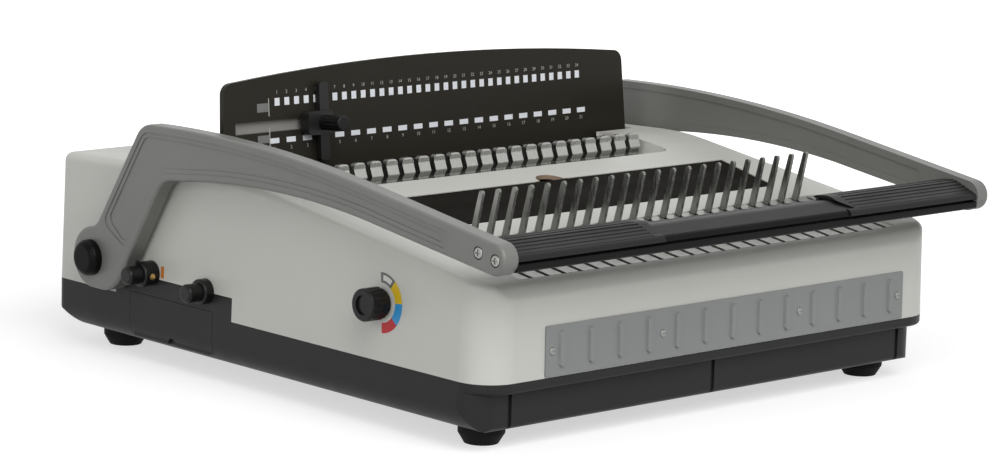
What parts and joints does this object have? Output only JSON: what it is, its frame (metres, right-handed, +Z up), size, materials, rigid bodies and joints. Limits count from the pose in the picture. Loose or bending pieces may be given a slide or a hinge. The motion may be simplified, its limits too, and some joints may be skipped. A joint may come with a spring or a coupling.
{
  "type": "manual comb binding machine",
  "caption": "Manual binding machine with a full-width pull-down handle, punch with selector tabs, storage lid, comb opener with upright blades and a sheet scale.",
  "frame": {"origin": "centre of the footprint, on the underside of the feet", "axes": "+X to the right of the user, -Y towards the user, +Z up; handle pulled down"},
  "size_m": [0.464, 0.4693, 0.2042],
  "materials": {
    "cover_plastic": "fine moulded texture",
    "base_plastic": "fine moulded texture",
    "arm_plastic": "satin",
    "handle_black": "satin",
    "grip_rubber": "ribbed",
    "foot_rubber": "matte",
    "trim_paint": "satin",
    "plated_steel": "zinc plated",
    "polished_steel": "bright",
    "plate_black": "semi-gloss",
    "chute_black": "matte",
    "lid_black": "satin",
    "knob_black": "satin",
    "rail_grey": "satin",
    "brass_screw": "turned"
  },
  "bodies": {
    "housing": {"base_tray": "base_plastic", "rubber_feet": "foot_rubber", "case_screws": "plated_steel", "top_cover": "cover_plastic", "front_trim_plate": "trim_paint", "storage_tub": "lid_black", "comb_table": "plated_steel", "comb_blades": "polished_steel", "side_frames": "plated_steel", "shaft_bushings": "brass_screw", "pin_guide": "plated_steel", "die_plate": "plated_steel", "selector_rail": "chute_black", "paper_chute": "chute_black", "scale_plate": "plate_black", "guide_rail": "rail_grey"},
    "handle": {"pivot_shaft": "plated_steel", "crank_plates": "plated_steel", "arm_left": "arm_plastic", "arm_right": "arm_plastic", "hub_caps": "handle_black", "handle_bar": "handle_black", "grips": "grip_rubber", "arm_screws": "plated_steel"},
    "punch": {"punch_bar": "plated_steel", "punch_pins": "polished_steel", "punch_links": "plated_steel"},
    "opener": {"comb_hooks": "polished_steel", "comb_links": "plated_steel"},
    "lid": {"storage_lid": "lid_black"},
    "drawer": {"chip_drawer": "base_plastic"},
    "sheet_guide": {"sheet_guide": "knob_black"},
    "guide_knob": {"guide_knob": "knob_black"},
    "comb_size": {"comb_size_knob": "knob_black"},
    "margin": {"margin_knob": "knob_black", "margin_screw": "brass_screw"},
    "depth": {"depth_stop": "plated_steel"},
    "edge": {"edge_knob": "knob_black"},
    "edge_stop": {"edge_stop": "plated_steel"},
    "pin_tab_01": {"pin_tab_01": "polished_steel"},
    "pin_tab_02": {"pin_tab_02": "polished_steel"},
    "pin_tab_03": {"pin_tab_03": "polished_steel"},
    "pin_tab_04": {"pin_tab_04": "polished_steel"},
    "pin_tab_05": {"pin_tab_05": "polished_steel"},
    "pin_tab_06": {"pin_tab_06": "polished_steel"},
    "pin_tab_07": {"pin_tab_07": "polished_steel"},
    "pin_tab_08": {"pin_tab_08": "polished_steel"},
    "pin_tab_09": {"pin_tab_09": "polished_steel"},
    "pin_tab_10": {"pin_tab_10": "polished_steel"},
    "pin_tab_11": {"pin_tab_11": "polished_steel"},
    "pin_tab_12": {"pin_tab_12": "polished_steel"},
    "pin_tab_13": {"pin_tab_13": "polished_steel"},
    "pin_tab_14": {"pin_tab_14": "polished_steel"},
    "pin_tab_15": {"pin_tab_15": "polished_steel"},
    "pin_tab_16": {"pin_tab_16": "polished_steel"},
    "pin_tab_17": {"pin_tab_17": "polished_steel"},
    "pin_tab_18": {"pin_tab_18": "polished_steel"},
    "pin_tab_19": {"pin_tab_19": "polished_steel"},
    "pin_tab_20": {"pin_tab_20": "polished_steel"},
    "pin_tab_21": {"pin_tab_21": "polished_steel"}
  },
  "joints": [
    {"name": "handle_swing", "type": "hinge", "parent": "housing", "child": "handle", "pos_m": [0, 0.17545, 0.0688], "axis": [-1, 0, 0], "range_deg": [0, 75]},
    {"name": "punch_slide", "type": "slide", "parent": "housing", "child": "punch", "axis": [0, -1, 0], "range_m": [0, 0.01583]},
    {"name": "opener_slide", "type": "slide", "parent": "housing", "child": "opener", "axis": [0, 0.9901, 0.14], "range_m": [0, 0.03]},
    {"name": "lid_swing", "type": "hinge", "parent": "housing", "child": "lid", "pos_m": [0.0075, -0.09273, 0.12051], "axis": [1, 0, 0], "range_deg": [0, 80]},
    {"name": "drawer_slide", "type": "slide", "parent": "housing", "child": "drawer", "axis": [-1, 0, 0], "range_m": [0, 0.2]},
    {"name": "guide_slide", "type": "slide", "parent": "housing", "child": "sheet_guide", "axis": [1, 0, 0], "range_m": [-0.058, 0.007]},
    {"name": "guide_clamp", "type": "hinge", "parent": "sheet_guide", "child": "guide_knob", "pos_m": [-0.106, 0.06184, 0.16624], "axis": [0, -0.9962, 0.0872], "range_deg": [0, 180]},
    {"name": "comb_size_turn", "type": "hinge", "parent": "housing", "child": "comb_size", "pos_m": [-0.2173, -0.10715, 0.0821], "axis": [-1, 0, 0], "range_deg": [0, 270]},
    {"name": "margin_turn", "type": "hinge", "parent": "housing", "child": "margin", "pos_m": [-0.2173, 0.12705, 0.064], "axis": [-1, 0, 0], "range_deg": [0, 270.01]},
    {"name": "depth_slide", "type": "slide", "parent": "housing", "child": "depth", "axis": [0, 0, 1], "range_m": [0, 0.004]},
    {"name": "edge_turn", "type": "hinge", "parent": "housing", "child": "edge", "pos_m": [-0.2173, 0.06855, 0.061], "axis": [-1, 0, 0], "range_deg": [0, 300]},
    {"name": "edge_slide", "type": "slide", "parent": "housing", "child": "edge_stop", "axis": [1, 0, 0], "range_m": [0, 0.012]},
    {"name": "pin_tab_01_lift", "type": "slide", "parent": "housing", "child": "pin_tab_01", "axis": [0, 0, 1], "range_m": [0, 0.008]},
    {"name": "pin_tab_02_lift", "type": "slide", "parent": "housing", "child": "pin_tab_02", "axis": [0, 0, 1], "range_m": [0, 0.008]},
    {"name": "pin_tab_03_lift", "type": "slide", "parent": "housing", "child": "pin_tab_03", "axis": [0, 0, 1], "range_m": [0, 0.008]},
    {"name": "pin_tab_04_lift", "type": "slide", "parent": "housing", "child": "pin_tab_04", "axis": [0, 0, 1], "range_m": [0, 0.008]},
    {"name": "pin_tab_05_lift", "type": "slide", "parent": "housing", "child": "pin_tab_05", "axis": [0, 0, 1], "range_m": [0, 0.008]},
    {"name": "pin_tab_06_lift", "type": "slide", "parent": "housing", "child": "pin_tab_06", "axis": [0, 0, 1], "range_m": [0, 0.008]},
    {"name": "pin_tab_07_lift", "type": "slide", "parent": "housing", "child": "pin_tab_07", "axis": [0, 0, 1], "range_m": [0, 0.008]},
    {"name": "pin_tab_08_lift", "type": "slide", "parent": "housing", "child": "pin_tab_08", "axis": [0, 0, 1], "range_m": [0, 0.008]},
    {"name": "pin_tab_09_lift", "type": "slide", "parent": "housing", "child": "pin_tab_09", "axis": [0, 0, 1], "range_m": [0, 0.008]},
    {"name": "pin_tab_10_lift", "type": "slide", "parent": "housing", "child": "pin_tab_10", "axis": [0, 0, 1], "range_m": [0, 0.008]},
    {"name": "pin_tab_11_lift", "type": "slide", "parent": "housing", "child": "pin_tab_11", "axis": [0, 0, 1], "range_m": [0, 0.008]},
    {"name": "pin_tab_12_lift", "type": "slide", "parent": "housing", "child": "pin_tab_12", "axis": [0, 0, 1], "range_m": [0, 0.008]},
    {"name": "pin_tab_13_lift", "type": "slide", "parent": "housing", "child": "pin_tab_13", "axis": [0, 0, 1], "range_m": [0, 0.008]},
    {"name": "pin_tab_14_lift", "type": "slide", "parent": "housing", "child": "pin_tab_14", "axis": [0, 0, 1], "range_m": [0, 0.008]},
    {"name": "pin_tab_15_lift", "type": "slide", "parent": "housing", "child": "pin_tab_15", "axis": [0, 0, 1], "range_m": [0, 0.008]},
    {"name": "pin_tab_16_lift", "type": "slide", "parent": "housing", "child": "pin_tab_16", "axis": [0, 0, 1], "range_m": [0, 0.008]},
    {"name": "pin_tab_17_lift", "type": "slide", "parent": "housing", "child": "pin_tab_17", "axis": [0, 0, 1], "range_m": [0, 0.008]},
    {"name": "pin_tab_18_lift", "type": "slide", "parent": "housing", "child": "pin_tab_18", "axis": [0, 0, 1], "range_m": [0, 0.008]},
    {"name": "pin_tab_19_lift", "type": "slide", "parent": "housing", "child": "pin_tab_19", "axis": [0, 0, 1], "range_m": [0, 0.008]},
    {"name": "pin_tab_20_lift", "type": "slide", "parent": "housing", "child": "pin_tab_20", "axis": [0, 0, 1], "range_m": [0, 0.008]},
    {"name": "pin_tab_21_lift", "type": "slide", "parent": "housing", "child": "pin_tab_21", "axis": [0, 0, 1], "range_m": [0, 0.008]}
  ],
  "couplings": [
    {"joint": "punch_slide", "follows": "handle_swing", "m_per_rad": 0.012092},
    {"joint": "opener_slide", "follows": "handle_swing", "m_per_rad": 0.022918},
    {"joint": "margin_turn", "follows": "depth_slide", "rad_per_m": 1178.1},
    {"joint": "edge_slide", "follows": "edge_turn", "m_per_rad": 0.0022918}
  ]
}
